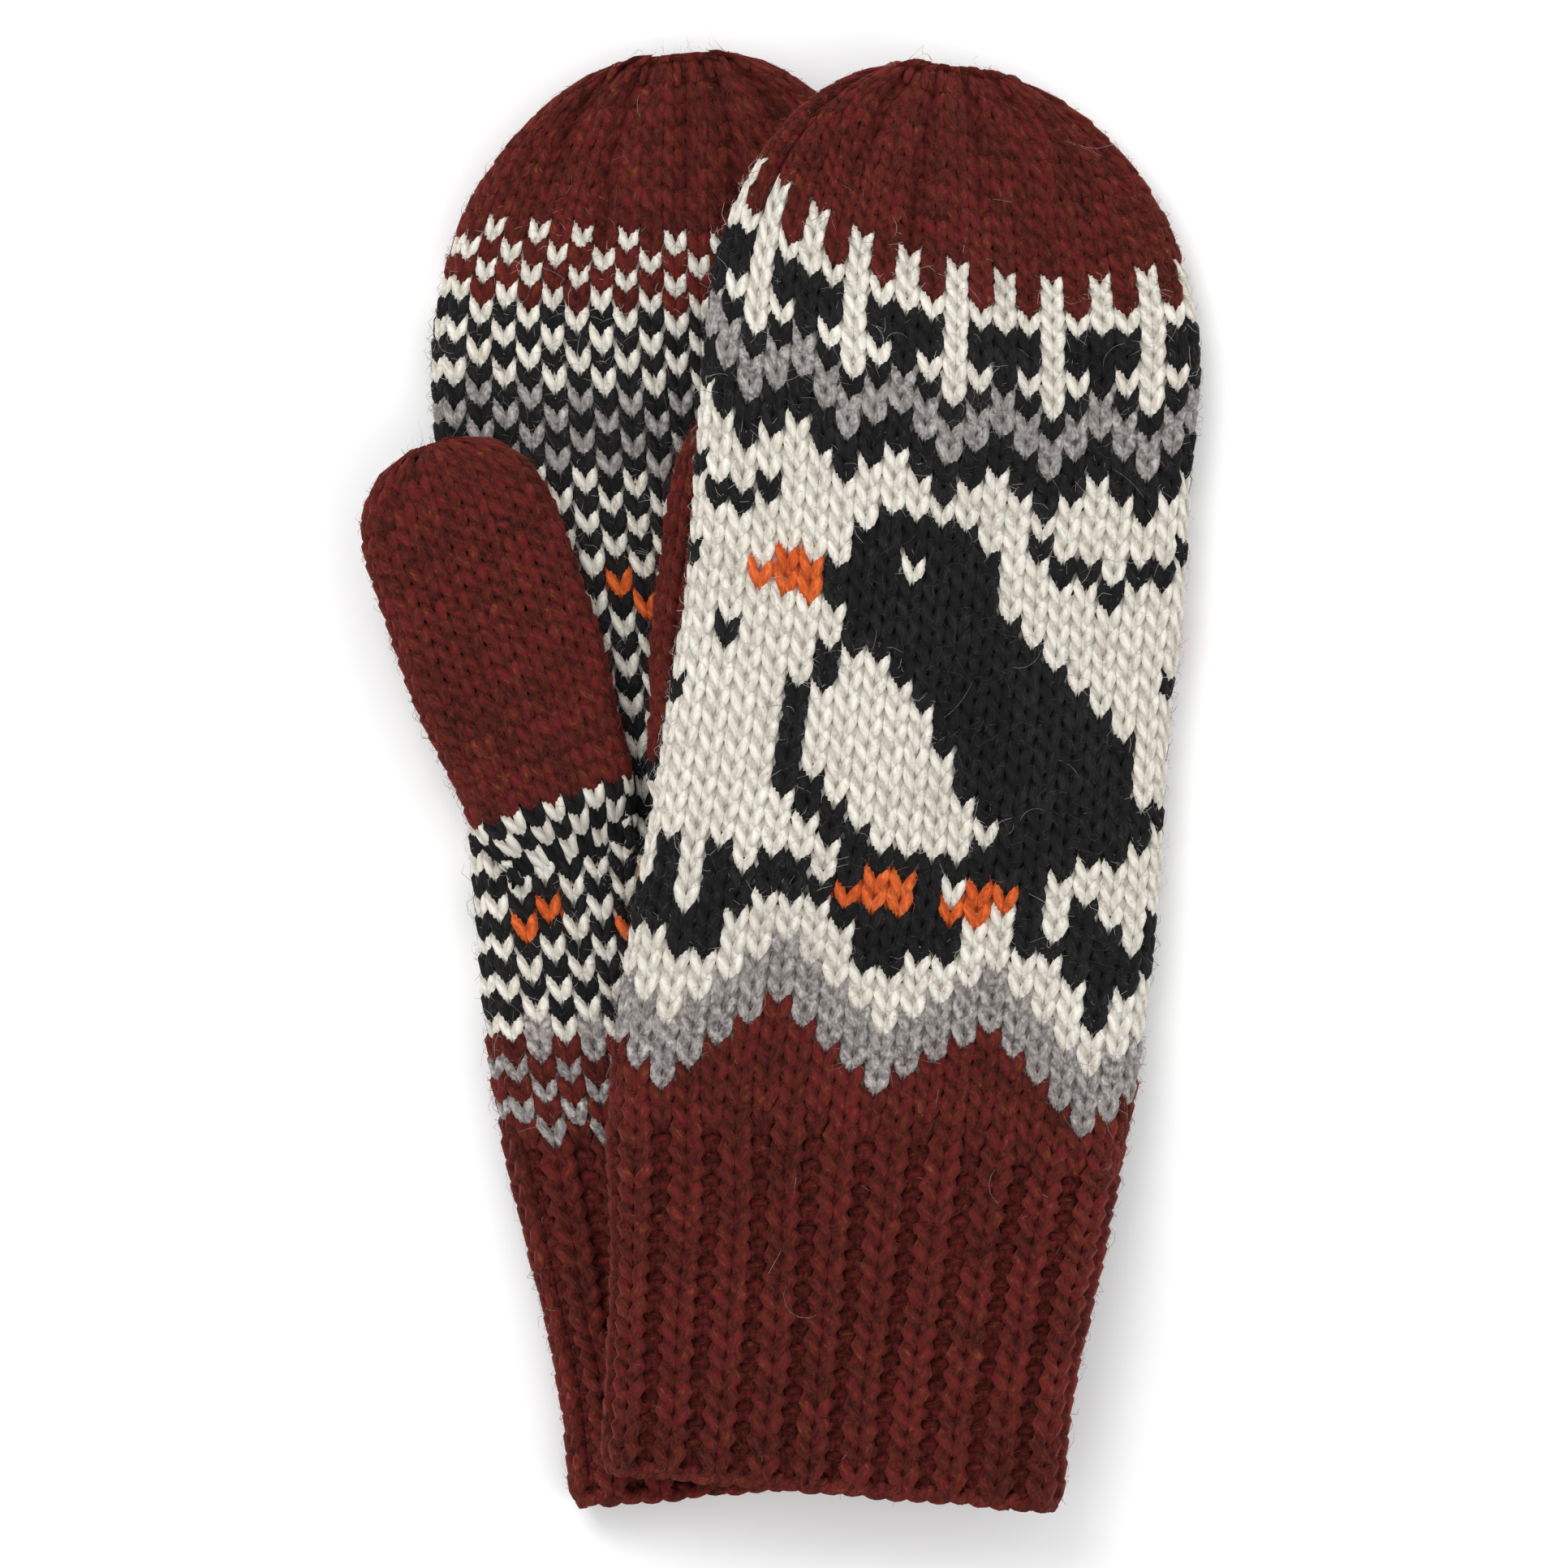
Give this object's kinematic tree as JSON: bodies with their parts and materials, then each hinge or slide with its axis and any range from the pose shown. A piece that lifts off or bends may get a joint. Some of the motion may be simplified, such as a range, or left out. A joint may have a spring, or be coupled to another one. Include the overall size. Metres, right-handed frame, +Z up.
{
  "type": "knitted mittens",
  "caption": "Pair of long knitted wool mittens with ribbed cuffs, picked-up thumbs and a stranded colour pattern, lying flat with the right mitten on top.",
  "frame": {"origin": "middle of the pair's outline seen from above, at the surface it lies on", "axes": "+Y from the hems towards the fingertips, +X to the right as seen from above, +Z up"},
  "size_m": [0.1549, 0.2716, 0.0316],
  "materials": {
    "rust_wool": "heathered woollen yarn, matt and slightly fuzzy",
    "white_wool": "natural white woollen yarn, matt and slightly fuzzy",
    "black_wool": "black woollen yarn, matt and slightly fuzzy",
    "grey_wool": "heathered grey woollen yarn, matt and slightly fuzzy",
    "orange_wool": "burnt orange woollen yarn, matt and slightly fuzzy"
  },
  "bodies": {
    "left_mitten": {"left_cast_on_edge": "rust_wool", "left_ribbed_cuff": "rust_wool", "left_lower_hand": "white_wool", "left_upper_hand": "black_wool", "left_crown": "rust_wool", "left_crown_closure": "rust_wool", "left_thumb_collar": "rust_wool", "left_lower_floats": "grey_wool", "left_upper_floats": "grey_wool", "left_cuff_tail": "rust_wool", "left_crown_tail": "rust_wool"},
    "left_thumb": {"left_thumb": "rust_wool", "left_thumb_closure": "rust_wool", "left_thumb_tail": "rust_wool"},
    "right_mitten": {"right_cast_on_edge": "rust_wool", "right_ribbed_cuff": "rust_wool", "right_lower_hand": "white_wool", "right_thumb_collar": "rust_wool", "right_lower_floats": "grey_wool", "right_cuff_tail": "rust_wool"},
    "right_fingers": {"right_upper_hand": "black_wool", "right_crown": "rust_wool", "right_crown_closure": "rust_wool", "right_upper_floats": "grey_wool", "right_crown_tail": "rust_wool"},
    "right_thumb": {"right_thumb": "rust_wool", "right_thumb_closure": "rust_wool", "right_thumb_tail": "rust_wool"}
  },
  "joints": [
    {"name": "right_mitten_lift", "type": "slide", "parent": "left_mitten", "child": "right_mitten", "axis": [0, 0, 1], "range_m": [0, 0.1]},
    {"name": "left_thumb_fold", "type": "hinge", "parent": "left_mitten", "child": "left_thumb", "pos_m": [-0.04229, -0.00461, 0.0114], "axis": [0.9455, 0.3256, 0], "range_deg": [0, 75], "deforming": ["left_thumb_collar"]},
    {"name": "right_thumb_swing", "type": "hinge", "parent": "right_mitten", "child": "right_thumb", "pos_m": [-0.00957, 0.00102, 0.0158], "axis": [0, 0, 1], "range_deg": [0, 15], "deforming": ["right_thumb_collar"]},
    {"name": "right_finger_fold", "type": "hinge", "parent": "right_mitten", "child": "right_fingers", "pos_m": [0.02328, 0.03227, 0.0318], "axis": [0.9962, -0.0872, 0], "range_deg": [0, 60]}
  ]
}
